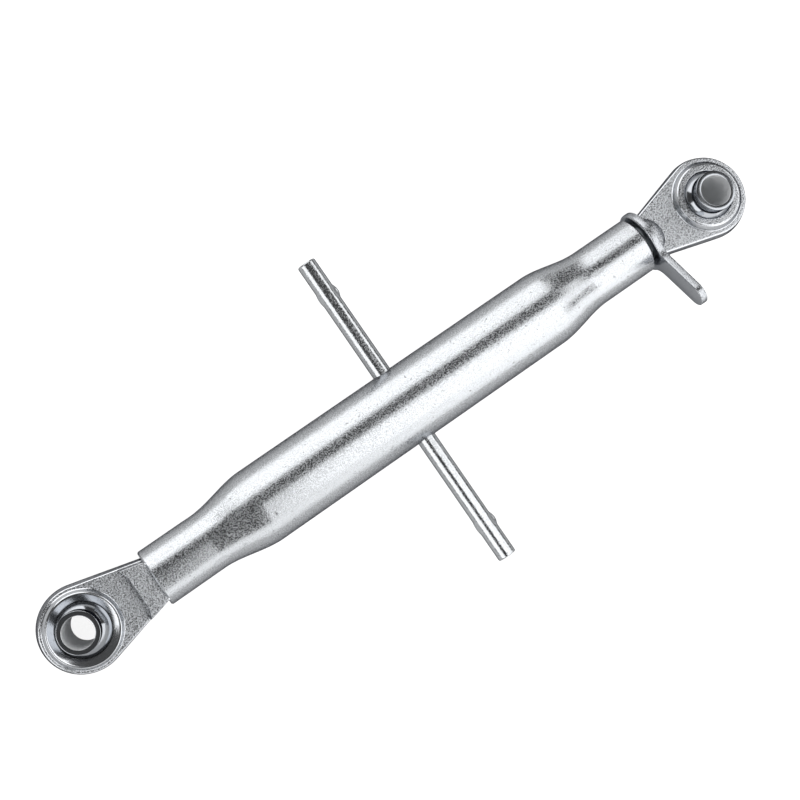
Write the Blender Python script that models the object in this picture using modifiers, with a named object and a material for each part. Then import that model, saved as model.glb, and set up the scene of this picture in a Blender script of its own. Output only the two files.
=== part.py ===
"""Tractor top link: a swaged turnbuckle barrel with a sliding tommy bar, two forged ball
eyes on threaded shanks, their swivel balls, and a lock nut with a lever.

Metres, +Z up. The link lies along X with the barrel on the ground plane, and +X points
to the end with the lock nut. The origin is under the middle of the link's length.
"""

import math

import bmesh
import bpy
from mathutils import Matrix

# Thread of the shanks and of what runs on them, drawn as its outside diameter.
THREAD_RADIUS = 0.0135
THREAD_CLEARANCE = 0.0003
THREAD_CHAMFER = 0.0015

# Barrel: a steel tube, swaged down at both ends and tapped there, right hand at one end
# and left hand at the other.
BARREL_LENGTH = 0.363
BARREL_RADIUS = 0.02415
BARREL_WALL = 0.0045
BARREL_CHAMFER = 0.0010
NECK_WALL = 0.0047
NECK_LENGTH = 0.0375
SWAGE_LENGTH = 0.038

# Tommy bar through the middle of the barrel, staked near both ends so that it stays in.
# The blow raises a taller ear on one side than on the other.
BAR_RADIUS = 0.0060
BAR_LENGTH = 0.2160
BAR_CHAMFER = 0.0010
BAR_CLEARANCE = 0.0003
BAR_SHIFT = -0.0026
STAKE_FROM_END = 0.0240
STAKE_LENGTH = 0.0090
STAKE_WIDTH = 0.0050
STAKE_PROUD = 0.0013
STAKE_PROUD_BEHIND = 0.0005

# Swivel ball: a bored ball with a collar at each side.
BALL_RADIUS = 0.0182
BALL_BORE_RADIUS = 0.00965
BALL_WIDTH = 0.0440
BALL_CLEARANCE = 0.0003
BALL_TILT = math.radians(13.5)
COLLAR_RADIUS = 0.01275
COLLAR_CHAMFER = 0.0006

# Forged eye. Its own frame has the ball's centre at the origin, the shank along +X, the
# rolled face up and the flat face down. The head's rim and the web are one plate, and the
# seat's ring stands out of both of its faces.
HEAD_WALL = 0.0082
PLATE_THICKNESS = 0.0120
PLATE_EDGE = 0.0012
ROLLED_RIM_WIDTH = 0.0034
ROLLED_SLOPE = 0.0020
ROLLED_CREST = 0.0002
ROLLED_HOLLOW = 0.0009
ROLLED_OVER = math.radians(5)
FLAT_RIM_WIDTH = 0.0042
FLAT_SLOPE = 0.0024
MOUTH_EDGE = 0.0003
WEB_LENGTH = 0.0476
WEB_SHOULDER = 0.0013
PAD_LENGTH = 0.0102
PAD_BELOW_THREAD = 0.0010
PAD_FRONT_WIDTH = 0.0220
PAD_HORN = 0.0025
PAD_EDGE = 0.0015
PAD_INSET = 0.0006
DOME_LENGTH = 0.0104
DOME_TRIM = 0.0005
SHANK_TO_BAR = 0.0232

# Lock nut with its lever, one plate.
NUT_WALL = 0.0067
NUT_THICKNESS = 0.0061
NUT_EDGE = 0.0007
LEVER_REACH = 0.0593
LEVER_TIP_RADIUS = 0.0071
LEVER_TAPER = math.radians(0.8)
LEVER_FILLET = 0.0120
LEVER_ANGLE = math.radians(29.6)

# Where the pieces lie, and how the loose ones have turned.
LEFT_GAP = 0.0019
NUT_TO_BARREL = 0.0011
NUT_TO_WEB = 0.0003
LEFT_EYE_ROLL = math.radians(8)
RIGHT_EYE_ROLL = math.radians(3)
LEFT_BALL_TURN = (math.radians(1.7), math.radians(-7.2))
RIGHT_BALL_TURN = (math.radians(-0.9), math.radians(0.5))

# Fineness of the round forms, how far a cut runs past what it cuts, how far a slope runs
# on into the piece that carries it, and what counts as one point.
ROUND_STEPS = 40
BAR_STEPS = 24
SPHERE_STEPS = 14
SHORT_STEPS = 6
SMOOTH_ANGLE = math.radians(32)
OVERRUN = 0.0020
ROOT_SHARE = 1.3
SAME_POINT = 0.00001

PARTS = "tractor_top_link"
CUTTERS = "cutters"


def clear_scene():
    for old in list(bpy.data.objects):
        bpy.data.objects.remove(old, do_unlink=True)


def new_collection(name):
    made = bpy.data.collections.new(name)
    bpy.context.scene.collection.children.link(made)
    return made


def zinc(name, colour, roughness):
    """Zinc plated steel: a metal whose colour and roughness come from the piece's finish."""
    material = bpy.data.materials.new(name)
    material.use_nodes = True
    shader = material.node_tree.nodes["Principled BSDF"]
    shader.inputs["Base Color"].default_value = (*colour, 1.0)
    shader.inputs["Metallic"].default_value = 1.0
    shader.inputs["Roughness"].default_value = roughness
    return material


def new_object(name, mesh, collection):
    made = bpy.data.objects.new(name, mesh)
    collection.objects.link(made)
    return made


def as_cutter(made):
    made.hide_render = True
    made.display_type = "WIRE"
    return made


def place(made, parent, location=(0, 0, 0), rotation=(0, 0, 0)):
    made.parent = parent
    made.location = location
    made.rotation_euler = rotation


def finish(made, material):
    made.data.materials.clear()
    made.data.materials.append(material)
    made.data.shade_smooth()
    made.data.set_sharp_from_angle(angle=SMOOTH_ANGLE)


def boolean(made, other, operation):
    modifier = made.modifiers.new(f"{operation.lower()} {other.name}", "BOOLEAN")
    modifier.operation = operation
    modifier.object = other
    modifier.solver = "EXACT"


def bevel(made, width, segments):
    """Rounds the sharp edges. The new faces are cut into triangles, because a Boolean needs
    flat ones and a long face at an acute corner isn't quite flat."""
    modifier = made.modifiers.new("rounded edges", "BEVEL")
    modifier.width = width
    modifier.segments = segments
    modifier.limit_method = "ANGLE"
    modifier.angle_limit = SMOOTH_ANGLE
    made.modifiers.new("flat faces", "TRIANGULATE")


def baked(made):
    """The object with its modifiers applied, so that a later join sees one plain mesh."""
    graph = bpy.context.evaluated_depsgraph_get()
    mesh = bpy.data.meshes.new_from_object(made.evaluated_get(graph))
    made.modifiers.clear()
    made.data = mesh
    return made


def turned(name, profile, collection, steps=ROUND_STEPS):
    """A solid of revolution about Z. The profile's (radius, height) points run down the
    outer side, and a profile that leaves the axis open closes on itself round a bore."""
    mesh = bpy.data.meshes.new(name)
    points = [(radius, 0, height) for radius, height in profile]
    edges = [(i, i + 1) for i in range(len(points) - 1)]
    if profile[0][0] > 0:
        edges.append((len(points) - 1, 0))
    mesh.from_pydata(points, edges, [])
    made = new_object(name, mesh, collection)
    screw = made.modifiers.new("turn", "SCREW")
    screw.steps = steps
    screw.render_steps = steps
    screw.use_merge_vertices = True
    screw.merge_threshold = SAME_POINT
    return made


def plate(name, outline, bottom, top, collection):
    """A flat outline in XY, filled and given its thickness between two heights."""
    curve = bpy.data.curves.new(name, "CURVE")
    curve.dimensions = "2D"
    curve.fill_mode = "BOTH"
    curve.extrude = (top - bottom) / 2
    spline = curve.splines.new("POLY")
    spline.points.add(len(outline) - 1)
    for point, (x, y) in zip(spline.points, outline):
        point.co = (x, y, 0, 1)
    spline.use_cyclic_u = True
    source = bpy.data.objects.new(name, curve)
    bpy.context.scene.collection.objects.link(source)
    bpy.context.view_layer.update()
    graph = bpy.context.evaluated_depsgraph_get()
    mesh = bpy.data.meshes.new_from_object(source.evaluated_get(graph))
    bpy.data.objects.remove(source, do_unlink=True)
    shaped = bmesh.new()
    shaped.from_mesh(mesh)
    bmesh.ops.remove_doubles(shaped, verts=shaped.verts, dist=SAME_POINT)
    bmesh.ops.translate(shaped, verts=shaped.verts, vec=(0, 0, (top + bottom) / 2))
    bmesh.ops.recalc_face_normals(shaped, faces=shaped.faces)
    shaped.to_mesh(mesh)
    shaped.free()
    mesh.name = name
    return new_object(name, mesh, collection)


def block(name, low, high, collection):
    """A box between two corners."""
    shaped = bmesh.new()
    bmesh.ops.create_cube(shaped, size=1)
    size = [b - a for a, b in zip(low, high)]
    middle = [(a + b) / 2 for a, b in zip(low, high)]
    bmesh.ops.scale(shaped, verts=shaped.verts, vec=size)
    bmesh.ops.translate(shaped, verts=shaped.verts, vec=middle)
    mesh = bpy.data.meshes.new(name)
    shaped.to_mesh(mesh)
    shaped.free()
    return new_object(name, mesh, collection)


def rod(name, radius, length, collection, steps=ROUND_STEPS):
    """A plain cylinder along Z, centred on the origin."""
    shaped = bmesh.new()
    bmesh.ops.create_cone(
        shaped, cap_ends=True, segments=steps, radius1=radius, radius2=radius, depth=length
    )
    mesh = bpy.data.meshes.new(name)
    shaped.to_mesh(mesh)
    shaped.free()
    return new_object(name, mesh, collection)


def spaced(start, end, steps):
    """Evenly spaced values from start to end, both included."""
    return [start + (end - start) * i / steps for i in range(steps + 1)]


def arc(radius, start, end, steps):
    """(radius, height) points of a circle round the origin, angles taken from +Z."""
    return [(radius * math.sin(a), radius * math.cos(a)) for a in spaced(start, end, steps)]


def circle(centre, radius, start, end, steps):
    """(x, y) points round a centre, angles taken from +X."""
    return [
        (centre[0] + radius * math.cos(a), centre[1] + radius * math.sin(a))
        for a in spaced(start, end, steps)
    ]


def ease(share):
    return share * share * (3 - 2 * share)


def run_on(start, end):
    """The point past end, on the line from start, where a slope sinks into its carrier."""
    return tuple(a + (b - a) * ROOT_SHARE for a, b in zip(start, end))


def swage(neck, middle):
    """(radius, height) points of one swaged end, from its neck down to the wide tube."""
    top = BARREL_LENGTH / 2 - NECK_LENGTH
    return [
        (neck + (middle - neck) * ease(share), top - SWAGE_LENGTH * share)
        for share in spaced(0, 1, SHORT_STEPS)
    ]


def make_barrel(parts, cutters, parent):
    tip = BARREL_LENGTH / 2
    tapped = THREAD_RADIUS + THREAD_CLEARANCE
    neck = tapped + NECK_WALL
    outer = [(neck - BARREL_CHAMFER, tip), (neck, tip - BARREL_CHAMFER)]
    outer += swage(neck, BARREL_RADIUS)
    inner = [(tapped + BARREL_CHAMFER, tip), (tapped, tip - BARREL_CHAMFER)]
    inner += swage(tapped, BARREL_RADIUS - BARREL_WALL)
    profile = outer + [(r, -h) for r, h in reversed(outer)]
    profile += [(r, -h) for r, h in inner] + list(reversed(inner))
    barrel = turned("barrel", profile, parts)
    place(barrel, parent, rotation=(0, math.pi / 2, 0))

    cross_bore = as_cutter(
        rod("bar_bore", BAR_RADIUS + BAR_CLEARANCE, 2 * BARREL_RADIUS + 2 * OVERRUN, cutters)
    )
    place(cross_bore, parent, rotation=(math.pi / 2, 0, 0))
    boolean(barrel, cross_bore, "DIFFERENCE")
    finish(barrel, zinc("barrel_zinc", (0.72, 0.74, 0.77), 0.30))
    return barrel


def make_tommy_bar(parts, parent):
    """A turned rod. Each stake raises the bar's two sides into low ears, by an amount that
    fades out along the bar and round it."""
    tip = BAR_LENGTH / 2
    stake = tip - STAKE_FROM_END
    reach = STAKE_LENGTH / 2
    side = [(BAR_RADIUS - BAR_CHAMFER, tip), (BAR_RADIUS, tip - BAR_CHAMFER)]
    side += [(BAR_RADIUS, h) for h in spaced(stake + reach, stake - reach, SHORT_STEPS)]
    profile = [(0, tip)] + side + [(r, -h) for r, h in reversed(side)] + [(0, -tip)]
    bar = baked(turned("tommy_bar", profile, parts, BAR_STEPS))
    for vertex in bar.data.vertices:
        x, y, z = vertex.co
        along = (abs(z) - stake) / reach
        across = y / (STAKE_WIDTH / 2)
        proud = STAKE_PROUD if x > 0 else -STAKE_PROUD_BEHIND
        if abs(along) < 1 and abs(across) < 1:
            vertex.co.x += proud * (1 - along * along) * (1 - across * across)
    place(bar, parent, (0, BAR_SHIFT, 0), (math.pi / 2, 0, 0))
    finish(bar, zinc("bar_zinc", (0.80, 0.81, 0.83), 0.16))
    return bar


def collar_angle():
    """The angle off the ball's axis at which the sphere meets its collar."""
    return math.asin(COLLAR_RADIUS / BALL_RADIUS)


def make_ball(name, parts, parent, turn):
    """A bored ball. Its profile runs down the outside and back up the bore."""
    end = BALL_WIDTH / 2
    start = collar_angle()
    collar = [
        (COLLAR_RADIUS - COLLAR_CHAMFER, end),
        (COLLAR_RADIUS, end - COLLAR_CHAMFER),
    ]
    bore = [
        (BALL_BORE_RADIUS, end - COLLAR_CHAMFER),
        (BALL_BORE_RADIUS + COLLAR_CHAMFER, end),
    ]
    profile = collar + arc(BALL_RADIUS, start, math.pi - start, SPHERE_STEPS)
    profile += [(r, -h) for r, h in reversed(collar)]
    profile += [(r, -h) for r, h in reversed(bore)] + bore
    ball = turned(name, profile, parts)
    place(ball, parent, rotation=(turn[0], turn[1], 0))
    finish(ball, zinc(f"{name}_zinc", (0.70, 0.71, 0.73), 0.14))
    return ball


def socket_radius():
    return BALL_RADIUS + BALL_CLEARANCE


def head_radius():
    return socket_radius() + HEAD_WALL


def mouth(rolled_over=0.0):
    """(radius, height) of the seat's mouth, which lets the collar tilt by its full angle.
    The rolled side opens a little wider."""
    return arc(socket_radius(), collar_angle() + BALL_TILT + rolled_over, 0, 1)[0]


def seat_cutter(name, cutters):
    """What the ball's seat takes out of the head: the socket and a mouth at each face."""
    past = BALL_WIDTH / 2
    start = collar_angle() + BALL_TILT
    socket = arc(socket_radius(), start + ROLLED_OVER, math.pi - start, SPHERE_STEPS)
    profile = [(0, past), (socket[0][0], past)] + socket
    profile += [(socket[-1][0], -past), (0, -past)]
    return as_cutter(turned(name, profile, cutters))


def make_ring(name, cutters):
    """The ring round the seat. On one face it is rolled in over the ball, with a shallow
    hollow inside its crest, and on the other it ends in a flat land."""
    face = PLATE_THICKNESS / 2
    lip_radius, lip_height = mouth(ROLLED_OVER)
    lip_top = lip_height + MOUTH_EDGE
    foot = (head_radius() - ROLLED_RIM_WIDTH, face)
    crest = (foot[0] - ROLLED_SLOPE, lip_top + ROLLED_CREST)
    hollow = [
        (
            lip_radius + (crest[0] - lip_radius) * share,
            lip_top + ROLLED_CREST * share - ROLLED_HOLLOW * math.sin(math.pi * share),
        )
        for share in spaced(0, 1, SHORT_STEPS)
    ]
    flat_foot = (head_radius() - FLAT_RIM_WIDTH, -face)
    land = (flat_foot[0] - FLAT_SLOPE, -mouth()[1] - MOUTH_EDGE)
    profile = [(0, lip_top)] + hollow + [run_on(crest, foot), run_on(land, flat_foot)]
    profile += [land, (0, land[1])]
    return as_cutter(turned(name, profile, cutters))


def web_taper():
    """The lean of the web's side, which leaves the head's circle at a tangent and ends a
    little outside the shank."""
    end = THREAD_RADIUS + WEB_SHOULDER
    reach = math.hypot(WEB_LENGTH, end)
    return math.asin(head_radius() / reach) - math.atan2(end, WEB_LENGTH)


def web_side(x):
    """Half the web's width at x."""
    taper = web_taper()
    return head_radius() / math.cos(taper) - x * math.tan(taper)


def plate_outline():
    """The head's circle and the two sides of the web, seen along the ball's axis."""
    leaves = math.pi / 2 - web_taper()
    outline = circle((0, 0), head_radius(), leaves, 2 * math.pi - leaves, ROUND_STEPS)
    return outline + [(WEB_LENGTH, -web_side(WEB_LENGTH)), (WEB_LENGTH, web_side(WEB_LENGTH))]


def pad_outline():
    """The raised pad at the shank. Two horns run from its straight front along the sides."""
    back = WEB_LENGTH - PAD_INSET
    front = WEB_LENGTH - PAD_LENGTH
    horn = front - PAD_HORN
    half = [
        (back, web_side(back) - PAD_INSET),
        (horn, web_side(horn) - PAD_INSET),
        (front, PAD_FRONT_WIDTH / 2),
    ]
    return half + [(x, -y) for x, y in reversed(half)]


def shank_length():
    """The left shank, screwed right home, ends short of the tommy bar. Both are alike."""
    return BARREL_LENGTH / 2 + LEFT_GAP - BAR_RADIUS - SHANK_TO_BAR


def make_eye(name, parts, cutters, parent):
    """Head, web and shank are forged in one. They are joined first, and the ball's seat is
    cut out of the whole."""
    face = PLATE_THICKNESS / 2
    eye = plate(name, plate_outline(), -face, face, parts)
    bevel(eye, PLATE_EDGE, 2)
    baked(eye)

    pad_top = THREAD_RADIUS - PAD_BELOW_THREAD
    pad = plate(f"{name}_pad", pad_outline(), 0, pad_top, cutters)
    bevel(pad, PAD_EDGE, 2)
    baked(pad)

    length = shank_length()
    dome = [
        (THREAD_RADIUS * math.sin(a), -DOME_LENGTH * math.cos(a) - PAD_INSET)
        for a in spaced(math.pi / 2, 0, SHORT_STEPS)
    ]
    shank = [(0, length), (THREAD_RADIUS - THREAD_CHAMFER, length)]
    shank += [(THREAD_RADIUS, length - THREAD_CHAMFER)] + dome
    rod_and_dome = turned(f"{name}_shank", shank, cutters)
    place(rod_and_dome, None, (WEB_LENGTH, 0, 0), (0, math.pi / 2, 0))
    trim = block(
        f"{name}_dome_trim",
        (0, -THREAD_RADIUS, THREAD_RADIUS - DOME_TRIM),
        (WEB_LENGTH, THREAD_RADIUS, THREAD_RADIUS + OVERRUN),
        cutters,
    )
    boolean(rod_and_dome, as_cutter(trim), "DIFFERENCE")

    boolean(eye, make_ring(f"{name}_ring", cutters), "UNION")
    boolean(eye, as_cutter(pad), "UNION")
    boolean(eye, as_cutter(rod_and_dome), "UNION")
    boolean(eye, seat_cutter(f"{name}_seat", cutters), "DIFFERENCE")
    bpy.context.view_layer.update()
    baked(eye)
    finish(eye, zinc(f"{name}_zinc", (0.66, 0.68, 0.71), 0.42))
    eye.parent = parent
    return eye


def nut_outline():
    """The ring's circle, run through a fillet at each side into a tapering lever whose end
    is round."""
    ring = THREAD_RADIUS + NUT_WALL
    lean = LEVER_TAPER
    tip = (LEVER_REACH - LEVER_TIP_RADIUS, 0)
    # The fillet's centre lies a fillet's radius off the lever's side and off the ring.
    reach = ring + LEVER_FILLET
    off_side = (LEVER_TIP_RADIUS + LEVER_FILLET) + tip[0] * math.sin(lean)
    turn = math.asin(off_side / reach) - lean
    centre = (reach * math.cos(turn), reach * math.sin(turn))
    side = math.pi / 2 - lean
    fillet = circle(centre, LEVER_FILLET, -side - 2 * lean, turn - math.pi, SHORT_STEPS)
    around = circle((0, 0), ring, turn, 2 * math.pi - turn, ROUND_STEPS)
    end = circle(tip, LEVER_TIP_RADIUS, -side, side, 2 * SHORT_STEPS)
    return fillet[:-1] + around + [(x, -y) for x, y in reversed(fillet[:-1])] + end


def make_lock_nut(parts, cutters, parent, location):
    half = NUT_THICKNESS / 2
    nut = plate("lock_nut", nut_outline(), -half, half, parts)
    bevel(nut, NUT_EDGE, 2)
    tapped = as_cutter(
        rod("nut_thread", THREAD_RADIUS + THREAD_CLEARANCE, NUT_THICKNESS + OVERRUN, cutters)
    )
    tapped.parent = nut
    boolean(nut, tapped, "DIFFERENCE")
    nut.parent = parent
    along_x = Matrix.Rotation(math.pi / 2, 4, "Y")
    lever_at = Matrix.Rotation(math.pi / 2 - LEVER_ANGLE, 4, "X")
    nut.matrix_local = (
        Matrix.Translation(location) @ lever_at @ along_x @ Matrix.Rotation(math.pi, 4, "Z")
    )
    finish(nut, zinc("lock_nut_zinc", (0.62, 0.64, 0.67), 0.34))
    return nut


def empty(name, location, rotation, parent, collection):
    made = new_object(name, None, collection)
    place(made, parent, location, rotation)
    return made


def build():
    clear_scene()
    parts = new_collection(PARTS)
    cutters = new_collection(CUTTERS)
    cutters.hide_render = True

    tip = BARREL_LENGTH / 2
    left_pin = -(tip + LEFT_GAP + WEB_LENGTH)
    nut_middle = tip + NUT_TO_BARREL + NUT_THICKNESS / 2
    right_pin = nut_middle + NUT_THICKNESS / 2 + NUT_TO_WEB + WEB_LENGTH
    middle = (left_pin + right_pin) / 2

    axis = empty("link_axis", (-middle, 0, BARREL_RADIUS), (0, 0, 0), None, parts)
    make_barrel(parts, cutters, axis)
    make_tommy_bar(parts, axis)

    left = empty("left_pin", (left_pin, 0, 0), (LEFT_EYE_ROLL, 0, 0), axis, parts)
    make_eye("eye_left", parts, cutters, left)
    left_ball = empty("left_ball_centre", (left_pin, 0, 0), (0, 0, 0), axis, parts)
    make_ball("ball_left", parts, left_ball, LEFT_BALL_TURN)

    turned_over = (RIGHT_EYE_ROLL, math.pi, 0)
    right = empty("right_pin", (right_pin, 0, 0), turned_over, axis, parts)
    make_eye("eye_right", parts, cutters, right)
    right_ball = empty("right_ball_centre", (right_pin, 0, 0), (0, 0, 0), axis, parts)
    make_ball("ball_right", parts, right_ball, RIGHT_BALL_TURN)

    make_lock_nut(parts, cutters, axis, (nut_middle, 0, 0))


build()
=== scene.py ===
import math

import bmesh
import bpy
import numpy as np
from mathutils import Euler, Matrix, Vector


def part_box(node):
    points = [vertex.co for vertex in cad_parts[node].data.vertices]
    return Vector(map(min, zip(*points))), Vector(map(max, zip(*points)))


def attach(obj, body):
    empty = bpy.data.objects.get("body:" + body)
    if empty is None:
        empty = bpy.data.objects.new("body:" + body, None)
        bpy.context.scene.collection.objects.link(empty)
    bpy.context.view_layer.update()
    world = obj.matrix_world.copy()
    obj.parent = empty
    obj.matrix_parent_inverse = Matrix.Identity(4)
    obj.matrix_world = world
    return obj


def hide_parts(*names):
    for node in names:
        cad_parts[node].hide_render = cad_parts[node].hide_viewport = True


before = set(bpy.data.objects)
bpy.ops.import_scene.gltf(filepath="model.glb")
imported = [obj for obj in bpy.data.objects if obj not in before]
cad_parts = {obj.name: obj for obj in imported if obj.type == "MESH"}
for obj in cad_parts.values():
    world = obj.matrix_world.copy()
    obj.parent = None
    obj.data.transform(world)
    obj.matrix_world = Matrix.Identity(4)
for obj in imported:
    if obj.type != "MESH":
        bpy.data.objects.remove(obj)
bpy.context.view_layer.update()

# The barrel: one steel tube, swaged down at both ends over a mandrel and tapped there. The
# hammers leave faint flats on the swages, and the drilled cross hole takes the tommy bar.
# Zinc plated, so it is bright with a fine speckle.
barrel_low, barrel_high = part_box("barrel")
barrel_length = barrel_high[0] - barrel_low[0]
barrel_radius = (barrel_high[2] - barrel_low[2]) / 2
link_centre = np.array([(barrel_low[0] + barrel_high[0]) / 2, 0.0, barrel_high[2] - barrel_radius])
thread_radius = 0.0135
thread_clearance = 0.0003
barrel_wall = 0.0045
neck_radius = 0.0185
neck_length = 0.0375
swage_length = 0.038
mouth_edge = 0.0009
bar_radius = 0.0060
bar_hole_radius = bar_radius + 0.0003
hammer_depth = 0.00008
hammer_reach = 0.9 * swage_length
flat_length = 0.0092
flat_depth = 0.00013
flats_round = 8
flat_twist = 0.37
flat_edge = 0.10
flat_toss = (12.99, 78.23, 3.7, 437.6)
barrel_columns = 240
crease_angle = math.radians(35)
zinc_colour = (0.71, 0.73, 0.755)
zinc_edge_tint = (0.05, 0.05, 0.06)
# The darker colour, as a share of the zinc's own, of the plating's real pits and of the painted shade in
# the grains' hollows.
pit_and_hollow_shade = 0.42


def closed_skin(name, points, joined, sharp=crease_angle):
    """The surface over a grid of points, rows by columns. Each row is a ring whose last
    point joins its first. The last row joins the first one where joined is set, and
    otherwise one flat face closes each end."""
    rows, columns = points.shape[:2]
    index = np.arange(rows * columns).reshape(rows, columns)
    here, below = (index, np.roll(index, -1, axis=0)) if joined else (index[:-1], index[1:])
    quads = np.stack([here, np.roll(here, -1, 1), np.roll(below, -1, 1), below], axis=-1)
    faces = quads.reshape(-1, 4).tolist()
    if not joined:
        faces += [index[0].tolist(), index[-1].tolist()]
    mesh = bpy.data.meshes.new(name)
    mesh.from_pydata(points.reshape(-1, 3).astype(float), [], faces)
    outward = bmesh.new()
    outward.from_mesh(mesh)
    bmesh.ops.recalc_face_normals(outward, faces=outward.faces)
    outward.to_mesh(mesh)
    outward.free()
    mesh.shade_smooth()
    mesh.set_sharp_from_angle(angle=sharp)
    made = bpy.data.objects.new(name, mesh)
    bpy.context.scene.collection.objects.link(made)
    return made


def turned_grid(along, radius, columns, axis):
    """Rings round an axis: at each along value, points at that radius. The radius may be
    one number per ring or one per point. axis names the coordinate that runs along."""
    turn = np.linspace(0, 2 * np.pi, columns, endpoint=False)
    radius = np.broadcast_to(np.atleast_2d(np.asarray(radius).T).T, (len(along), columns))
    across = np.stack([radius * np.cos(turn), radius * np.sin(turn)])
    length = np.broadcast_to(np.asarray(along)[:, None], radius.shape)
    order = {"x": (length, *across), "y": (across[1], length, across[0]), "z": (*across, length)}
    return np.stack(order[axis], axis=-1)


def eased(share):
    """A share from 0 to 1 that starts and stops gently: 3 s squared less 2 s cubed."""
    share = np.clip(share, 0, 1)
    return share * share * (3 - 2 * share)


def swaged_radius(x, neck, middle):
    """The tube's radius at a distance x from its middle: neck, eased swage, full tube."""
    from_tip = barrel_length / 2 - np.abs(x)
    return neck + (middle - neck) * eased((from_tip - neck_length) / swage_length)


def hammered(radius, x, turn):
    """The radius with the hammer dies' flats: within a block of the swage it may not pass
    (radius less depth) over the cosine of the angle from the block's middle. Blocks lie in
    rows along the swage, each row turned a little further. Their depths come from the
    fraction of a fast sine of their numbers, and half of the blocks have none."""
    into_swage = barrel_length / 2 - np.abs(x)[:, None] - neck_length + flat_length / 2
    row = np.floor(into_swage / flat_length)
    step = 2 * np.pi / flats_round
    shifted = turn[None] - flat_twist * step * row
    column = np.round(shifted / step)
    by_row, by_column, by_end, spread = flat_toss
    number = by_row * row + by_column * (column % flats_round) + by_end * np.sign(x)[:, None]
    toss = np.sin(number) * spread
    share = ((toss - np.floor(toss)) * 2 - 1).clip(0)
    along = into_swage / flat_length - row
    edge = eased(np.minimum(along, 1 - along) / flat_edge)
    worked = (row >= 0) & (into_swage < swage_length + flat_length)
    limit = (radius - flat_depth * share * edge) / np.cos(shifted - column * step)
    return np.where(worked & (share > 0), np.minimum(radius, limit), radius)


def barrel_skin():
    """A closed profile, out along the outside and back through the bore, carried round X.
    The swages are a little uneven too: the radius sinks by two products of slow waves, one
    round the tube and one along it, which fade out on the straight tube."""
    tip = barrel_length / 2
    swage_end = tip - neck_length - swage_length
    fine_from, fine_to = swage_end - 0.004, swage_end + swage_length + 0.006
    half = np.concatenate([
        np.linspace(0, fine_from, 44, endpoint=False),
        np.linspace(fine_from, fine_to, 118, endpoint=False),
        np.linspace(fine_to, tip - mouth_edge, 20),
        [tip],
    ])
    outside = np.concatenate([-half[:0:-1], half])
    inside = np.linspace(tip, -tip, 40)
    turn = np.linspace(0, 2 * np.pi, barrel_columns, endpoint=False)
    outer = swaged_radius(outside, neck_radius, barrel_radius)
    outer[[0, -1]] -= mouth_edge
    from_tip = tip - np.abs(outside)
    worked = np.clip(1 - np.abs(from_tip - neck_length - swage_length / 2) / hammer_reach, 0, 1)
    short = np.cos(5 * turn + 0.8)[None] * np.cos(outside / 0.0052)[:, None]
    long = np.cos(3 * turn + 2.1)[None] * np.cos(outside / 0.0110 + 1.0)[:, None]
    dips = hammer_depth * (0.6 * np.maximum(short, 0) + 0.9 * np.maximum(long, 0))
    outer = hammered(outer[:, None] - worked[:, None] * dips, outside, turn)
    bore = thread_radius + thread_clearance
    inner = swaged_radius(inside, bore, barrel_radius - barrel_wall)
    inner = np.repeat(inner[:, None], barrel_columns, axis=1)
    radius = np.concatenate([outer, inner])
    points = turned_grid(np.concatenate([outside, inside]), radius, barrel_columns, "x")
    return closed_skin("barrel_tube", points + link_centre, joined=True)


def drilled(piece, cutter):
    """The piece with the cutter's shape taken out of it, and the cutter gone."""
    cut = piece.modifiers.new("cross hole", "BOOLEAN")
    cut.object = cutter
    cut.operation = "DIFFERENCE"
    cut.solver = "EXACT"
    graph = bpy.context.evaluated_depsgraph_get()
    mesh = bpy.data.meshes.new_from_object(piece.evaluated_get(graph))
    piece.modifiers.clear()
    piece.data = mesh
    mesh.shade_smooth()
    mesh.set_sharp_from_angle(angle=crease_angle)
    bpy.data.objects.remove(cutter, do_unlink=True)
    return piece


def node(tree, kind, inputs=(), **settings):
    """A new node of that kind. inputs pairs a socket's name with a value or another
    node's output."""
    made = tree.nodes.new(kind)
    for name, value in settings.items():
        setattr(made, name, value)
    for name, value in inputs:
        if isinstance(value, bpy.types.NodeSocket):
            tree.links.new(value, made.inputs[name])
        else:
            made.inputs[name].default_value = value
    return made


def product(tree, first, second):
    """The output that is the product of two, each a number or another node's output."""
    return node(tree, "ShaderNodeMath", [(0, first), (1, second)], operation="MULTIPLY").outputs[0]


def effect_group(name, inputs, outputs):
    """An empty node group with float inputs, given with their first values, and outputs."""
    group = bpy.data.node_groups.new(name, "ShaderNodeTree")
    for label, value in inputs:
        socket = group.interface.new_socket(label, in_out="INPUT", socket_type="NodeSocketFloat")
        socket.default_value = value
    for label in outputs:
        group.interface.new_socket(label, in_out="OUTPUT", socket_type="NodeSocketFloat")
    return group


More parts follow.
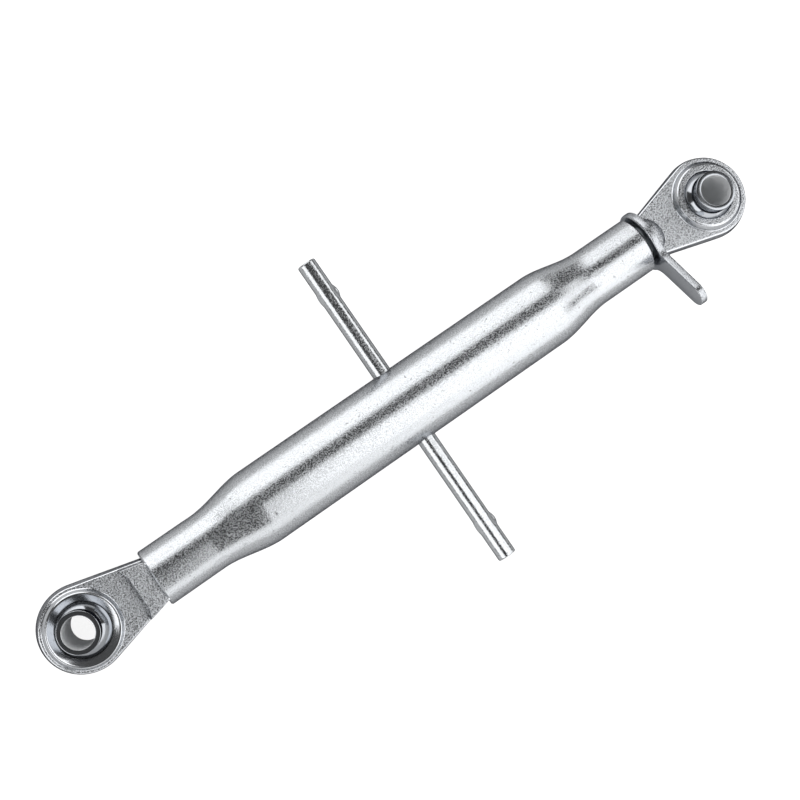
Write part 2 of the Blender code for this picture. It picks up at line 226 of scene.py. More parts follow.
def plating_grain_group():
    """Fine crystal grain of zinc on steel. Relief is a height in grain depths, Hollow is one
    between the grains, Frost is one on the matt grains, and Fleck is one in the few small
    dark pits. Drift is a slow change of polish from place to place."""
    group = effect_group(
        "plating_grain",
        [("Grains per metre", 1600.0), ("Pits per metre", 420.0), ("Pit share", 0.30)],
        ["Relief", "Hollow", "Frost", "Fleck", "Drift"],
    )
    given = group.nodes.new("NodeGroupInput")
    place = node(group, "ShaderNodeTexCoord").outputs["Object"]
    grain = node(
        group, "ShaderNodeTexNoise",
        [("Vector", place), ("Scale", given.outputs["Grains per metre"]),
         ("Detail", 2.0), ("Roughness", 0.55)],
    )
    hollow = node(
        group, "ShaderNodeMapRange",
        [("Value", grain.outputs["Fac"]), ("From Min", 0.55), ("From Max", 0.36)],
    )
    frost = node(
        group, "ShaderNodeMapRange",
        [("Value", grain.outputs["Fac"]), ("From Min", 0.47), ("From Max", 0.62)],
    )
    pits = node(
        group, "ShaderNodeTexNoise",
        [("Vector", place), ("Scale", given.outputs["Pits per metre"]),
         ("Detail", 3.0), ("Roughness", 0.7)],
    )
    pit_share = given.outputs["Pit share"]
    pit_edge = node(group, "ShaderNodeMath", [(0, pit_share), (1, 0.06)], operation="ADD")
    fleck = node(
        group, "ShaderNodeMapRange",
        [("Value", pits.outputs["Fac"]), ("From Min", pit_edge.outputs[0]), ("From Max", pit_share)],
        interpolation_type="SMOOTHSTEP",
    )
    drift = node(group, "ShaderNodeTexNoise", [("Vector", place), ("Scale", 55.0), ("Detail", 2.0)])
    node(
        group, "NodeGroupOutput",
        [("Relief", grain.outputs["Fac"]), ("Hollow", hollow.outputs["Result"]),
         ("Frost", frost.outputs["Result"]), ("Fleck", fleck.outputs["Result"]),
         ("Drift", drift.outputs["Fac"])],
    )
    return group


def drawn_lines_group():
    """Long shallow lines that drawing and handling leave along X or Y: noise whose place is
    squeezed across that axis and stretched along it. Lines is a height."""
    group = effect_group("drawn_lines", [("Along X", 1.0), ("Along Y", 0.0)], ["Lines"])
    given = group.nodes.new("NodeGroupInput")
    place = node(group, "ShaderNodeTexCoord").outputs["Object"]
    slow, fast = 6, 900
    shares = []
    for axis, scale in (("Along X", (slow, fast, fast)), ("Along Y", (fast, slow, fast))):
        squeezed = node(group, "ShaderNodeMapping", [("Vector", place), ("Scale", scale)])
        lines = node(
            group, "ShaderNodeTexNoise",
            [("Vector", squeezed.outputs[0]), ("Scale", 1.0), ("Detail", 3.0)],
        )
        shares.append(product(group, lines.outputs["Fac"], given.outputs[axis]))
    total = node(group, "ShaderNodeMath", [(0, shares[0]), (1, shares[1])], operation="ADD")
    node(group, "NodeGroupOutput", [("Lines", total.outputs[0])])
    return group


def turned_lines_group():
    """Fine lines of a lathe tool: noise along the turned profile only. Lines is a height.
    The way along the profile is read from the mesh, in metres."""
    group = effect_group("turned_lines", [("Lines per metre", 1500.0)], ["Lines"])
    given = group.nodes.new("NodeGroupInput")
    along = node(group, "ShaderNodeAttribute", attribute_name="track", attribute_type="GEOMETRY")
    lines = node(
        group, "ShaderNodeTexNoise",
        [("W", along.outputs["Fac"]), ("Scale", given.outputs["Lines per metre"]), ("Detail", 2.0)],
        noise_dimensions="1D",
    )
    node(group, "NodeGroupOutput", [("Lines", lines.outputs["Fac"])])
    return group


plating_grain = plating_grain_group()
drawn_lines = drawn_lines_group()
turned_lines = turned_lines_group()


def zinc(name, colour, rough, depth, grains, pits=(420.0, 0.30), lines=(0.0, 0.0), line_depth=0.0,
         sandy=False, track_depth=0.0, hollow_shade=0.0, frost=(0.0, 0.5), bare=0.0, bare_colour=None):
    """Zinc plating as a metal. rough is its least and greatest roughness, depth the grain's
    height in metres, pits their number per metre and their share, hollow_shade the share of
    painted shade between the grains, and frost the share and the roughness of the matt ones.
    On a sandy piece the mesh's attribute named sand scales height, painted shade and frost and
    roughens the skin, and bare is the share of dull scale there, with its colour. lines are
    the shares of drawn lines along X and Y. A track_depth adds turned lines to the pieces
    that carry a track."""
    material = bpy.data.materials.new(name)
    material.use_nodes = True
    tree = material.node_tree
    shader = tree.nodes["Principled BSDF"]
    grain = node(
        tree, "ShaderNodeGroup",
        [("Grains per metre", grains), ("Pits per metre", pits[0]), ("Pit share", pits[1])],
        node_tree=plating_grain,
    )
    relief, polish = grain.outputs["Relief"], grain.outputs["Drift"]
    # Painted shade: the hollows between the grains, where the bump's relief is low, are darkened towards
    # the pits' colour by this share.
    shaded_hollows = product(tree, grain.outputs["Hollow"], hollow_shade)
    frosted = product(tree, grain.outputs["Frost"], frost[0])
    if sandy:
        skin = node(tree, "ShaderNodeAttribute", attribute_name="sand", attribute_type="GEOMETRY")
        polish = skin.outputs["Fac"]
        relief, shaded_hollows, frosted = (product(tree, plain, polish) for plain in (relief, shaded_hollows, frosted))
    darkened = node(
        tree, "ShaderNodeMath", [(0, shaded_hollows), (1, grain.outputs["Fleck"])], operation="MAXIMUM",
    )
    bump = node(tree, "ShaderNodeBump", [("Height", relief), ("Distance", depth), ("Strength", 1.0)])
    if line_depth:
        drawn = node(
            tree, "ShaderNodeGroup", [("Along X", lines[0]), ("Along Y", lines[1])],
            node_tree=drawn_lines,
        )
        bump = node(
            tree, "ShaderNodeBump",
            [("Height", drawn.outputs["Lines"]), ("Distance", line_depth), ("Strength", 1.0),
             ("Normal", bump.outputs[0])],
        )
    if track_depth:
        turned = node(tree, "ShaderNodeGroup", node_tree=turned_lines)
        bump = node(
            tree, "ShaderNodeBump",
            [("Height", turned.outputs["Lines"]), ("Distance", track_depth), ("Strength", 1.0),
             ("Normal", bump.outputs[0])],
        )
    roughness = node(
        tree, "ShaderNodeMapRange",
        [("Value", polish), ("To Min", rough[0]), ("To Max", rough[1])],
    )
    matt = node(tree, "ShaderNodeMix", [(0, frosted), (2, roughness.outputs["Result"]), (3, frost[1])])
    # Real pits and painted shade share this darker colour. The pits are dark flecks of the plating, and the
    # grains' hollows are darkened as painted shade.
    pit_and_hollow_colour = (*(pit_and_hollow_shade * c for c in colour), 1.0)
    pitted_and_shaded = node(
        tree, "ShaderNodeMix", [(0, darkened.outputs[0]), (6, (*colour, 1.0)), (7, pit_and_hollow_colour)],
        data_type="RGBA",
    )
    skin_colour = pitted_and_shaded.outputs[2]
    shader.inputs["Metallic"].default_value = 1.0
    if bare:
        plated = node(
            tree, "ShaderNodeMapRange",
            [("Value", polish), ("To Min", 1.0), ("To Max", 1.0 - bare)],
        )
        tree.links.new(plated.outputs["Result"], shader.inputs["Metallic"])
        dull = node(
            tree, "ShaderNodeMix", [(0, polish), (6, skin_colour), (7, (*bare_colour, 1.0))],
            data_type="RGBA",
        )
        skin_colour = dull.outputs[2]
    tree.links.new(skin_colour, shader.inputs["Base Color"])
    tree.links.new(matt.outputs[0], shader.inputs["Roughness"])
    tree.links.new(bump.outputs[0], shader.inputs["Normal"])
    shader.inputs["Specular Tint"].default_value = (*zinc_edge_tint, 1.0)
    return material


def dressed(piece, material, part):
    """Gives the piece its finish. It rides on the part's body and stands for its CAD node."""
    piece.data.materials.clear()
    piece.data.materials.append(material)
    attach(piece, part)
    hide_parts(part)


drill_reach = np.array([-1.2, 1.2]) * barrel_radius
drill_points = turned_grid(drill_reach, bar_hole_radius, 64, "y") + link_centre
barrel = drilled(barrel_skin(), closed_skin("drill", drill_points, joined=False))
barrel_zinc = zinc(
    "barrel_zinc", zinc_colour, rough=(0.12, 0.17), depth=0.00008, grains=1500.0,
    hollow_shade=0.14, frost=(0.85, 0.58), lines=(1.0, 0.0), line_depth=0.00003,
)
dressed(barrel, barrel_zinc, "barrel")

# The tommy bar: drawn bright bar, chamfered at both ends, through the barrel's cross hole. A
# chisel blow near each end raises an ear on each side, so that it can't drop out.
bar_low, bar_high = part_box("tommy_bar")
bar_length = bar_high[1] - bar_low[1]
bar_centre = np.array([link_centre[0], (bar_low[1] + bar_high[1]) / 2, link_centre[2]])
bar_chamfer = 0.0010
stake_from_end = 0.0240
stake_length = 0.0090
stake_width = 0.0050
ear_right = 0.0013
ear_left = 0.0006
chisel_depth = 0.0007
chisel_height = 0.55 * bar_radius
chisel_half_width = 0.32 * bar_radius


def tommy_bar_skin():
    """A turned bar along Y with eased chamfers. Near each end it widens into an ear on each
    side by (1 - a squared)(1 - b squared), a and b being the shares along and across the
    stake. Above the right ear the chisel's dent sinks by a like law, a little shorter."""
    tip = bar_length / 2
    corner = np.linspace(0, np.pi / 2, 7)
    end = tip - bar_chamfer * (1 - np.sin(corner))
    end_radius = bar_radius - bar_chamfer * (1 - np.cos(corner))
    body = np.linspace(-tip + bar_chamfer, tip - bar_chamfer, 420)
    along = np.concatenate([-end[::-1], body[1:-1], end])
    radius = np.concatenate([end_radius[::-1], np.full(len(body) - 2, bar_radius), end_radius])
    points = turned_grid(along, radius, 72, "y")
    x, y, z = np.moveaxis(points, -1, 0)
    a = (np.abs(y) - (tip - stake_from_end)) / (stake_length / 2)
    b = z / (stake_width / 2)
    inside = (np.abs(a) < 1) & (np.abs(b) < 1)
    ear = np.where(x > 0, ear_right, -ear_left)
    x += np.where(inside, ear * (1 - a * a) * (1 - b * b), 0)
    c = (z - chisel_height) / chisel_half_width
    dent = (np.abs(1.15 * a) < 1) & (np.abs(c) < 1) & (x > 0)
    z -= np.where(dent, chisel_depth * (1 - 1.3 * a * a).clip(0) * (1 - c * c), 0)
    return closed_skin("tommy_bar_rod", points + bar_centre, joined=False)


bar_zinc = zinc(
    "bar_zinc", (0.72, 0.74, 0.76), rough=(0.10, 0.15), depth=0.00005, grains=1250.0,
    hollow_shade=0.2, frost=(0.6, 0.5), lines=(0.0, 1.0), line_depth=0.00005,
)
dressed(tommy_bar_skin(), bar_zinc, "tommy_bar")

# The two swivel balls: turned from bar and ground, each with a collar at both sides and a
# bore for the hitch pin. They are loose in their seats, so each has tilted a little. The
# bore's wall is left dull.
ball_radius = 0.0182
ball_bore_radius = 0.00965
ball_width = 0.0440
ball_clearance = 0.0003
collar_radius = 0.01275
collar_edge = 0.0004
bore_wall_reach = 0.0002
ball_columns = 160
left_ball_turn = (math.radians(1.7), math.radians(-7.2), 0)
right_ball_turn = (math.radians(-0.9), math.radians(0.5), 0)


def node_centre(name):
    """The middle of a CAD node's box."""
    low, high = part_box(name)
    return (np.array(low) + np.array(high)) / 2


def set_down(points, turn, place):
    """The points turned about the origin by an XYZ rotation, then moved to their place."""
    return points @ np.array(Euler(turn).to_matrix()).T + place


def rounded_corner(centre_radius, centre_height, size, start, end):
    """(radius, height) points of a corner's arc round a centre, angles taken from +r."""
    angle = np.linspace(start, end, 6)
    return np.stack([centre_radius + size * np.cos(angle), centre_height + size * np.sin(angle)], axis=-1)


def mark(piece, name, values):
    """Stores one number per vertex, which the piece's finish reads by that name."""
    stored = piece.data.attributes.new(name, "FLOAT", "POINT")
    stored.data.foreach_set("value", np.asarray(values, np.float32).ravel())


def far_along(profile):
    """How far along a profile each of its points lies, in metres."""
    return np.concatenate([[0], np.cumsum(np.hypot(*np.diff(profile, axis=0).T))])


def ball_skin(name, turn, place):
    """A closed profile round Z: bore, collar end, collar, sphere, and the same mirrored."""
    end = ball_width / 2
    start = math.asin(collar_radius / ball_radius)
    polar = np.linspace(start, np.pi - start, 56)
    sphere = ball_radius * np.stack([np.sin(polar), np.cos(polar)], axis=-1)
    outer = rounded_corner(collar_radius - collar_edge, end - collar_edge, collar_edge, np.pi / 2, 0)
    inner = rounded_corner(ball_bore_radius + collar_edge, end - collar_edge, collar_edge, np.pi, np.pi / 2)
    top = np.concatenate([inner, outer])
    bore_end = end - 2 * collar_edge
    bore = np.linspace([ball_bore_radius, -bore_end], [ball_bore_radius, bore_end], 12)
    profile = np.concatenate([top, sphere, top[::-1] * [1, -1], bore])
    points = turned_grid(profile[:, 1], profile[:, 0], ball_columns, "z")
    made = closed_skin(name, set_down(points, turn, place), joined=True)
    bore_wall = eased((ball_bore_radius + bore_wall_reach - profile[:, 0]) / (bore_wall_reach / 2))
    mark(made, "sand", np.repeat(bore_wall[:, None], ball_columns, axis=1))
    mark(made, "track", np.repeat(far_along(profile)[:, None], ball_columns, axis=1))
    return made


ball_zinc = zinc(
    "ball_zinc", (0.50, 0.52, 0.55), rough=(0.12, 0.55), depth=0.00012, grains=1300.0,
    pits=(300.0, 0.26), sandy=True, track_depth=0.00002, bare=0.7, bare_colour=(0.82, 0.83, 0.84),
)
for side, turn in (("left", left_ball_turn), ("right", right_ball_turn)):
    ball = ball_skin(f"swivel_ball_{side}", turn, node_centre(f"ball_{side}"))
    dressed(ball, ball_zinc, f"ball_{side}")

# The two forged eyes: head, web, pad and shank are one drop forging in each. The skin stays
# sandy from the die, the trimmed edges are smoother, the seat's ring is turned, and the rolled
# side is pressed in over the ball. The left eye lies rolled side up, the right one flat side up.
socket_radius = ball_radius + ball_clearance
head_radius = 0.0258
web_face = 0.0060
forged_edge = 0.0010
web_length = 0.0476
web_length_left = 0.0507
web_end = thread_radius + 0.0004
pad_front = 0.0374
pad_front_half = 0.0110
pad_horn = 0.0349
pad_inset = 0.0006
pad_height = 0.0077
pad_wall = 0.00012
pad_edge = 0.0004
pad_blend = 0.0003
dome_length = 0.0110
dome_trim = 0.0130
dome_blend = 0.0009
hidden_radius = 0.0208
side_crown = 0.0010
trimmed_reach = 0.0003
sand_reach = 0.0011
least_sand = 0.15
trimmed_sand = 0.25
lip_height = 0.00765
crest_radius, crest_height = 0.0215, 0.00891
rolled_foot = 0.0235
flat_foot = 0.0225
ring_foot = 0.0008
ring_window = 0.0006
land_outer, land_inner, land_height = 0.0201, 0.01568, 0.01011
land_edge = 0.0002
ring_columns = 240
shank_length = 0.1542
shank_sunk = 0.0008
shank_chamfer = 0.0015
thread_pitch = 0.0030
thread_depth = 0.0017
thread_start = 0.0010
groove_length = 0.0068
groove_depth = 0.0024
groove_wall = 0.0015
left_eye_turn = (math.radians(8), 0, 0)
right_eye_turn = (math.radians(3), math.pi, 0)


def web_lean(length):
    """The angle by which the web's side leans in, so that it leaves the head at a tangent."""
    return math.asin(head_radius / math.hypot(length, web_end)) - math.atan2(web_end, length)


def smooth_max(a, b, width):
    """The larger of a and b, with the crease between them filled over that width."""
    share = np.clip(0.5 + 0.5 * (b - a) / width, 0, 1)
    return a + (b - a) * share + width * share * (1 - share)


def web_skin(name, turn, place, length):
    """Head and web as one plate. The columns are rays from the seat's axis, and the rows run
    out over the rolled face to the outline, down the side and back under the flat face. Each
    face's height comes from the distance to the outline, which rounds the edge, from the
    pad's own outline, and from the dome of the shank's end, an ellipsoid of three axes. The
    side bulges by a sine's half wave, which is the die's draft."""
    lean = web_lean(length)
    leaves = math.pi / 2 - lean
    corner = math.atan2(web_end, length)
    half = np.concatenate([
        np.linspace(0, corner, 26, endpoint=False),
        np.linspace(corner, leaves, 76, endpoint=False),
        np.linspace(leaves, math.pi, 56, endpoint=False),
    ])
    angle = np.concatenate([half, [math.pi], -half[:0:-1]])
    size = np.abs(angle)
    outline = np.where(size < leaves, head_radius / np.cos(size - leaves), head_radius)
    outline = np.where(size < corner, length / np.cos(size), outline)
    horn_half = head_radius / math.cos(lean) - pad_horn * math.tan(lean) - pad_inset
    front_line = np.linspace([pad_front, pad_front_half], [pad_horn, horn_half], 40)
    flat_line = np.linspace([pad_front, 0], [pad_front, pad_front_half], 40, endpoint=False)
    front_points = np.concatenate([flat_line, front_line])
    front_angle = np.arctan2(front_points[:, 1], front_points[:, 0])
    front = np.interp(size, front_angle, np.hypot(*front_points.T))
    beyond = size > front_angle[-1]
    side_gap = head_radius / math.cos(front_angle[-1] - leaves) - np.hypot(pad_horn, horn_half)
    front = np.where(beyond, outline - side_gap - pad_edge, front)
    even = np.linspace(0, 1, 46)[:, None]
    inner_share = eased(even) * 0.35 + even * 0.65
    outer_share = (1 - np.cos(np.linspace(0, np.pi, 44)))[1:, None] / 2
    radius = np.concatenate([
        hidden_radius + (front - hidden_radius) * inner_share,
        front + (outline - front) * outer_share,
    ])
    x, y = radius * np.cos(angle), radius * np.sin(angle)
    to_side = head_radius - (x * math.cos(leaves) + np.abs(y) * math.sin(leaves))
    to_edge = np.where(size < leaves, to_side, head_radius - radius)
    to_edge = np.minimum(to_edge, length - x).clip(0)
    drop = forged_edge - np.sqrt(forged_edge**2 - (forged_edge - to_edge).clip(0) ** 2)
    plate = web_face - drop
    slant = math.atan2(pad_front - pad_horn, horn_half - pad_front_half)
    to_front = np.maximum(
        x - pad_front,
        (x - pad_front) * math.cos(slant) + (np.abs(y) - pad_front_half) * math.sin(slant),
    )
    to_pad = np.minimum(to_front, np.where(size < leaves, to_side, 0) - pad_inset)
    bend = np.linspace(0, np.pi / 2, 8)
    wall_run = np.concatenate([[0], pad_wall + pad_edge * (1 - np.cos(bend))])
    wall_rise = np.concatenate([[0], pad_height - pad_edge * (1 - np.sin(bend))])
    pad_foot = 0.001
    pad = web_face - pad_foot + np.interp(to_pad, wall_run, wall_rise + pad_foot)
    pad = np.where(to_pad > 0, pad, 0)
    near_shank = ((length - x) / dome_length).clip(0, 1)
    dome = np.sqrt((thread_radius**2 * (1 - near_shank**2) - y * y).clip(0))
    top = smooth_max(np.maximum(plate, pad), np.minimum(dome, dome_trim), pad_blend)
    bottom = smooth_max(plate, dome, dome_blend)
    wall_share = np.linspace(0, 1, 7)[1:-1, None]
    wall_z = top[-1] + (-bottom[-1] - top[-1]) * wall_share
    crown = 1 + side_crown / outline * np.sin(np.pi * wall_share)
    wall = np.stack([x[-1] * crown, y[-1] * crown, wall_z], axis=-1)
    upper = np.stack([x, y, top], axis=-1)
    lower = np.stack([x, y, -bottom], axis=-1)[::-1]
    points = np.concatenate([upper, wall, lower])
    made = closed_skin(name, set_down(points, turn, place), joined=True, sharp=math.radians(60))
    sandy = eased((to_edge - trimmed_reach) / sand_reach)
    sandy = np.concatenate([sandy, np.full(wall.shape[:2], trimmed_sand), sandy[::-1]])
    mark(made, "sand", least_sand + (1 - least_sand) * sandy)
    return made


def smoothed(points, step):
    """The line through the points with rounded corners: cut into even steps, each of which
    moves to the mean of its neighbours within the window. The two ends stay."""
    points = np.asarray(points)
    far = far_along(points)
    at = np.linspace(0, far[-1], int(far[-1] / step))
    line = np.stack([np.interp(at, far, points[:, 0]), np.interp(at, far, points[:, 1])], axis=-1)
    reach = int(ring_window / step / 2)
    before, after = 2 * line[0] - line[reach:0:-1], 2 * line[-1] - line[-2:-reach - 2:-1]
    padded = np.concatenate([before, line, after])
    kernel = np.full(2 * reach + 1, 1 / (2 * reach + 1))
    return np.stack([np.convolve(padded[:, i], kernel, mode="valid") for i in (0, 1)], axis=-1)


def seat_ring_skin(name, turn, place):
    """The ring round the ball's seat, a closed profile round Z: up the spherical socket to
    the rolled lip, over a dish that rises to the crest and rounds down to the plate, through
    the plate, and back over the flat side's slope and land."""
    lip_radius = math.sqrt(socket_radius**2 - lip_height**2)
    lip_angle = math.asin(lip_radius / socket_radius)
    flat_angle = math.pi - math.asin(land_inner / socket_radius)
    polar = np.linspace(flat_angle, lip_angle, 40)
    socket = socket_radius * np.stack([np.sin(polar), np.cos(polar)], axis=-1)
    rise = crest_height - lip_height
    width = crest_radius - lip_radius
    fall = crest_height - web_face
    slope = rolled_foot - crest_radius
    rolled = smoothed([
        (lip_radius, lip_height), (lip_radius + 0.85 * width, lip_height + 0.94 * rise),
        (crest_radius, crest_height), (crest_radius + 0.20 * slope, crest_height - 0.10 * fall),
        (crest_radius + 0.60 * slope, crest_height - 0.50 * fall),
        (rolled_foot, web_face + 0.08 * fall), (rolled_foot + ring_foot, web_face - 0.0002),
    ], 0.00015)
    sunk = np.array([
        [rolled_foot + ring_foot, web_face - 0.0015], [flat_foot + ring_foot, -web_face + 0.0015],
    ])
    flat_side = smoothed([
        (flat_foot + ring_foot, -web_face + 0.0002), (flat_foot, -web_face - 0.0002),
        (land_outer + 0.0004, -land_height + 0.0004), (land_outer - 0.0006, -land_height),
        (land_inner + 0.0003, -land_height), (land_inner, -land_height + land_edge),
    ], 0.00020)
    profile = np.concatenate([socket, rolled, sunk, flat_side])
    points = turned_grid(profile[:, 1], profile[:, 0], ring_columns, "z")
    made = closed_skin(name, set_down(points, turn, place), joined=True, sharp=math.radians(50))
    on_land = (profile[:, 1] < -land_height + land_edge) & (profile[:, 0] > land_inner)
    on_slope = (profile[:, 1] < -web_face) & ~on_land & (profile[:, 0] > land_inner + 0.001)
    sandy = 0.05 + 0.50 * on_land + 0.13 * on_slope
    mark(made, "sand", np.repeat(sandy[:, None], ring_columns, axis=1))
    mark(made, "track", np.repeat(far_along(profile)[:, None], ring_columns, axis=1))
    return made


def shank_skin(name, hand, turn, place):
    """The threaded shank along X. Its radius sinks from the crest by a wave of the thread's
    pitch that turns with the angle, once round for each pitch, left or right by hand. The
    thread runs out over its first two turns, into a turned groove beside the web."""
    start, end = web_length - shank_sunk, web_length + shank_length
    along = np.arange(start, end, thread_pitch / 12)
    columns = 64
    angle = np.linspace(0, 2 * np.pi, columns, endpoint=False)
    phase = (along[:, None] / thread_pitch + hand * angle[None] / (2 * np.pi)) % 1
    tooth = np.clip(1.3 * np.abs(2 * phase - 1) - 0.15, 0, 1)
    run_in = eased((along - web_length - thread_start) / (2 * thread_pitch))[:, None]
    tip = eased((end - along) / 0.002)[:, None]
    groove = groove_depth * eased((web_length + groove_length - along) / groove_wall)[:, None]
    radius = thread_radius - thread_depth * tooth * run_in * tip - shank_chamfer * (1 - tip) - groove
    points = turned_grid(along, radius, columns, "x")
    return closed_skin(name, set_down(points, turn, place), joined=False, sharp=math.radians(75))


forged_zinc = zinc(
    "forged_zinc", (0.78, 0.80, 0.83), rough=(0.13, 0.22), depth=0.00022, grains=1350.0,
    pits=(900.0, 0.31), sandy=True, track_depth=0.00001, hollow_shade=1.0, frost=(1.0, 0.62),
)
# The thread's zinc has a darker colour as painted shade: the bit of thread seen in the gap between the
# barrel's mouth and the pad is darkened to stand in for the shade there.
shaded_thread_zinc = zinc(
    "shaded_thread_zinc", (0.42, 0.44, 0.46), rough=(0.24, 0.36), depth=0.00005, grains=1400.0,
)
for side, turn, hand, length in (
    ("left", left_eye_turn, -1, web_length_left), ("right", right_eye_turn, 1, web_length),
):
    eye = f"eye_{side}"
    pin = node_centre(f"ball_{side}")
    pin[1], pin[2] = 0.0, link_centre[2]
    dressed(web_skin(f"forged_web_{side}", turn, pin, length), forged_zinc, eye)
    dressed(seat_ring_skin(f"seat_ring_{side}", turn, pin), forged_zinc, eye)
    dressed(shank_skin(f"threaded_shank_{side}", hand, turn, pin), shaded_thread_zinc, eye)

# The lock nut: a ring with its lever, flame cut from plate and tapped. The ring's rim is
# chamfered on the side of the eye, the cut edges are coarse and the faces are satin.
nut_low, nut_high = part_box("lock_nut")
nut_set_back = 0.0013
nut_thickness = nut_high[0] - nut_low[0] - nut_set_back
nut_centre = np.array([(nut_low[0] + nut_high[0] + nut_set_back) / 2, 0.0, link_centre[2]])
nut_ring_radius = thread_radius + 0.0067
nut_edge = 0.0007
nut_chamfer = 0.0015
chamfer_from, chamfer_fade = 0.75, 0.25
satin_sand = 0.12
lever_reach = 0.0593
lever_tip_radius = 0.0080
lever_taper = math.radians(0.8)
lever_fillet = 0.012
lever_angle = math.radians(29.6)


def arc_points(centre, radius, start, end, steps):
    """(a, b) points round a centre, from one angle to another."""
    angle = np.linspace(start, end, steps)
    return np.stack([centre[0] + radius * np.cos(angle), centre[1] + radius * np.sin(angle)], axis=-1)


def nut_outline():
    """The ring's arc, a fillet into each side of the tapering lever, and the lever's round
    end, as (a, b) points with the lever along +a."""
    tip = (lever_reach - lever_tip_radius, 0.0)
    reach = nut_ring_radius + lever_fillet
    off_side = lever_tip_radius + lever_fillet + tip[0] * math.sin(lever_taper)
    joint = math.asin(off_side / reach) - lever_taper
    centre = (reach * math.cos(joint), reach * math.sin(joint))
    side = math.pi / 2 - lever_taper
    fillet = arc_points(centre, lever_fillet, -side - 2 * lever_taper, joint - math.pi, 22)
    ring = arc_points((0, 0), nut_ring_radius, joint, 2 * math.pi - joint, 120)
    end = arc_points(tip, lever_tip_radius, -side, side, 40)
    straight = np.linspace(end[-1], fillet[0], 26)[1:-1]
    return np.concatenate([
        straight, fillet[:-1], ring[:-1], (fillet * [1, -1])[::-1], (straight * [1, -1])[::-1], end[:-1],
    ])


def nut_skin():
    """Rows are the outline drawn in along its own normal, so that each edge is a quarter
    round, and the rows of each face's mouth meet the tapped hole on a ray."""
    outline = nut_outline()
    along = np.roll(outline, -1, axis=0) - np.roll(outline, 1, axis=0)
    normal = np.stack([along[:, 1], -along[:, 0]], axis=-1)
    normal /= np.linalg.norm(normal, axis=1, keepdims=True)
    normal *= np.sign((normal * outline).sum())
    angle = np.arctan2(outline[:, 1], outline[:, 0])
    ray = np.stack([np.cos(angle), np.sin(angle)], axis=-1)
    on_ring = eased((np.abs(angle) - chamfer_from) / chamfer_fade)[:, None]
    bend = np.linspace(0, np.pi / 2, 6)[:, None, None]
    half = nut_thickness / 2
    hole = thread_radius + thread_clearance

    def edge(size, face):
        drawn_in = outline[None] - normal[None] * size * (1 - np.cos(bend))
        height = np.broadcast_to(face * (half - size * (1 - np.sin(bend))), drawn_in.shape[:2] + (1,))
        return np.concatenate([drawn_in, height], axis=-1)

    def mouth(radius, height):
        return np.concatenate([ray * radius, np.full((len(ray), 1), height)], axis=-1)[None]

    barrel_side = edge(nut_edge, 1)[::-1]
    eye_side = edge(nut_edge + (nut_chamfer - nut_edge) * on_ring, -1)
    barrel_mouth = [mouth(hole, 0.0), mouth(hole, half - nut_edge), mouth(hole + nut_edge, half)]
    eye_mouth = [mouth(hole + nut_edge, -half), mouth(hole, -half + nut_edge)]
    points = np.concatenate([*barrel_mouth, barrel_side, eye_side, *eye_mouth])
    # The plate's own Z runs against +X, and its +X is the lever's direction.
    frame_of_plate = (
        Matrix.Rotation(math.pi / 2 - lever_angle, 3, "X")
        @ Matrix.Rotation(math.pi / 2, 3, "Y")
        @ Matrix.Rotation(math.pi, 3, "Z")
    )
    placed = points @ np.array(frame_of_plate).T + nut_centre
    made = closed_skin("lock_nut_plate", placed, joined=True, sharp=math.radians(40))
    sandy = np.full(points.shape[:2], satin_sand)
    first_cut = len(barrel_mouth) + 1
    sandy[first_cut:first_cut + len(barrel_side) + len(eye_side) - 2] = 1.0
    mark(made, "sand", sandy)
    return made


nut_zinc = zinc(
    "nut_zinc", (0.64, 0.66, 0.69), rough=(0.18, 0.22), depth=0.00014, grains=1250.0,
    pits=(600.0, 0.31), sandy=True, hollow_shade=0.5, frost=(0.8, 0.5),
)
dressed(nut_skin(), nut_zinc, "lock_nut")

# The studio: a pale floor that the camera sees as white and the metal as a dim glow, and soft
# boxes whose places set the bright bands along the tube. The dark gap between the one far off
# and the one overhead gives its dark band.
floor_size = 6.0
floor_colour = (0.48, 0.48, 0.48)
floor_lift = 0.86
metal_share = 0.20
world_light = 0.07


def lay_floor():
    """One plane. Its diffuse shade keeps the link's shadow. A plain glow lifts it to white
    for the camera, and by a share of that for what the metal shows of it."""
    mesh = bpy.data.meshes.new("studio_floor")
    half = floor_size / 2
    corners = [(-half, -half, 0), (half, -half, 0), (half, half, 0), (-half, half, 0)]
    mesh.from_pydata(corners, [], [(0, 1, 2, 3)])
    floor = bpy.data.objects.new("studio_floor", mesh)
    bpy.context.scene.collection.objects.link(floor)
    material = bpy.data.materials.new("studio_paper")
    material.use_nodes = True
    tree = material.node_tree
    shader = tree.nodes["Principled BSDF"]
    shader.inputs["Base Color"].default_value = (*floor_colour, 1)
    shader.inputs["Roughness"].default_value = 0.9
    shader.inputs["Specular IOR Level"].default_value = 0.0
    path = node(tree, "ShaderNodeLightPath")
    bounced = node(
        tree, "ShaderNodeMath",
        [(0, path.outputs["Is Glossy Ray"]), (1, path.outputs["Is Transmission Ray"])], operation="ADD",
    )
    seen = node(
        tree, "ShaderNodeMath",
        [(0, bounced.outputs[0]), (1, metal_share), (2, path.outputs["Is Camera Ray"])],
        operation="MULTIPLY_ADD", use_clamp=True,
    )
    shader.inputs["Emission Color"].default_value = (1, 1, 1, 1)
    tree.links.new(product(tree, seen.outputs[0], floor_lift), shader.inputs["Emission Strength"])
    mesh.materials.append(material)


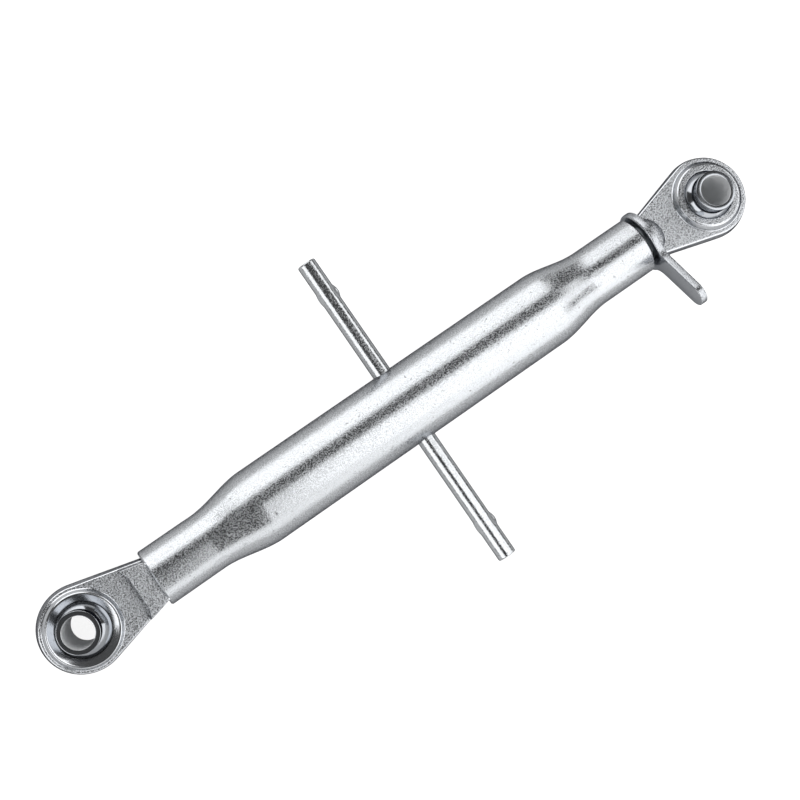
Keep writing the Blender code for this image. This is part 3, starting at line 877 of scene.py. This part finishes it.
def soft_box(name, corners, radiance):
    """A rectangular lamp between three corners, the first one shared by both sides. It
    faces the link, and its power gives the radiance that its size asks for."""
    first, second, third = (Vector(c) for c in corners)
    across, up = second - first, third - first
    centre = first + (across + up) / 2
    facing = across.cross(up).normalized()
    if facing.dot(centre - Vector(link_centre)) < 0:
        facing.negate()
    x_axis = across.normalized()
    y_axis = facing.cross(x_axis)
    lamp = bpy.data.lights.new(name, "AREA")
    lamp.shape = "RECTANGLE"
    lamp.size, lamp.size_y = across.length, up.length
    lamp.energy = radiance * 4 * across.length * up.length
    box = bpy.data.objects.new(name, lamp)
    box.matrix_world = Matrix.Translation(centre) @ Matrix((x_axis, y_axis, facing)).transposed().to_4x4()
    bpy.context.scene.collection.objects.link(box)


lay_floor()
soft_box("box_far", ((-0.62, 0.72, 1.05), (0.75, 0.72, 1.05), (-0.62, 1.40, 0.0)), 1.15)
soft_box("box_near_top", ((-0.03, -0.01, 1.05), (0.95, -0.01, 1.05), (-0.03, -1.60, 1.05)), 1.22)
soft_box("box_near_low", ((-1.60, -1.70, 1.05), (0.30, -1.70, 1.05), (-1.60, -1.70, 0.0)), 0.86)
soft_box("box_near_right", ((0.32, -1.72, 1.05), (2.00, -0.90, 1.05), (0.32, -1.72, 0.0)), 1.10)
soft_box("box_left", ((-0.80, -0.90, 1.05), (-0.80, 0.42, 1.05), (-1.65, -0.90, 0.25)), 1.15)
soft_box("box_right", ((1.00, -0.50, 1.05), (1.00, 0.50, 1.05), (1.75, -0.50, 0.65)), 1.15)

world = bpy.data.worlds.new("studio_world")
bpy.context.scene.world = world
world.use_nodes = True
background = world.node_tree.nodes["Background"]
background.inputs["Color"].default_value = (1.0, 1.0, 1.0, 1.0)
camera_sees = node(world.node_tree, "ShaderNodeLightPath").outputs["Is Camera Ray"]
white_there = node(
    world.node_tree, "ShaderNodeMapRange",
    [("Value", camera_sees), ("To Min", world_light), ("To Max", 1.0)],
)
world.node_tree.links.new(white_there.outputs["Result"], background.inputs["Strength"])

# The camera looks almost straight down on the link, from a little towards its left end, and is
# turned so that the link runs from lower left to upper right.
camera_tilt = math.radians(11.3)
camera_roll = math.radians(34.6)
camera_distance = 0.973
camera_aside = 0.0045
camera_aim = Vector((link_centre[0], camera_aside, link_centre[2]))
camera = bpy.data.cameras.new("studio_camera")
camera.lens = 72
camera.sensor_width = 36
camera.clip_start = 0.01
viewer = bpy.data.objects.new("studio_camera", camera)
back = Vector((-math.sin(camera_tilt), 0, math.cos(camera_tilt)))
level = Vector((math.cos(camera_tilt), 0, math.sin(camera_tilt)))
right = math.cos(camera_roll) * level - math.sin(camera_roll) * Vector((0, 1, 0))
viewer.matrix_world = (
    Matrix.Translation(camera_aim + camera_distance * back)
    @ Matrix((right, back.cross(right), back)).transposed().to_4x4()
)
bpy.context.scene.collection.objects.link(viewer)
bpy.context.scene.camera = viewer
bpy.context.scene.view_settings.view_transform = "Standard"
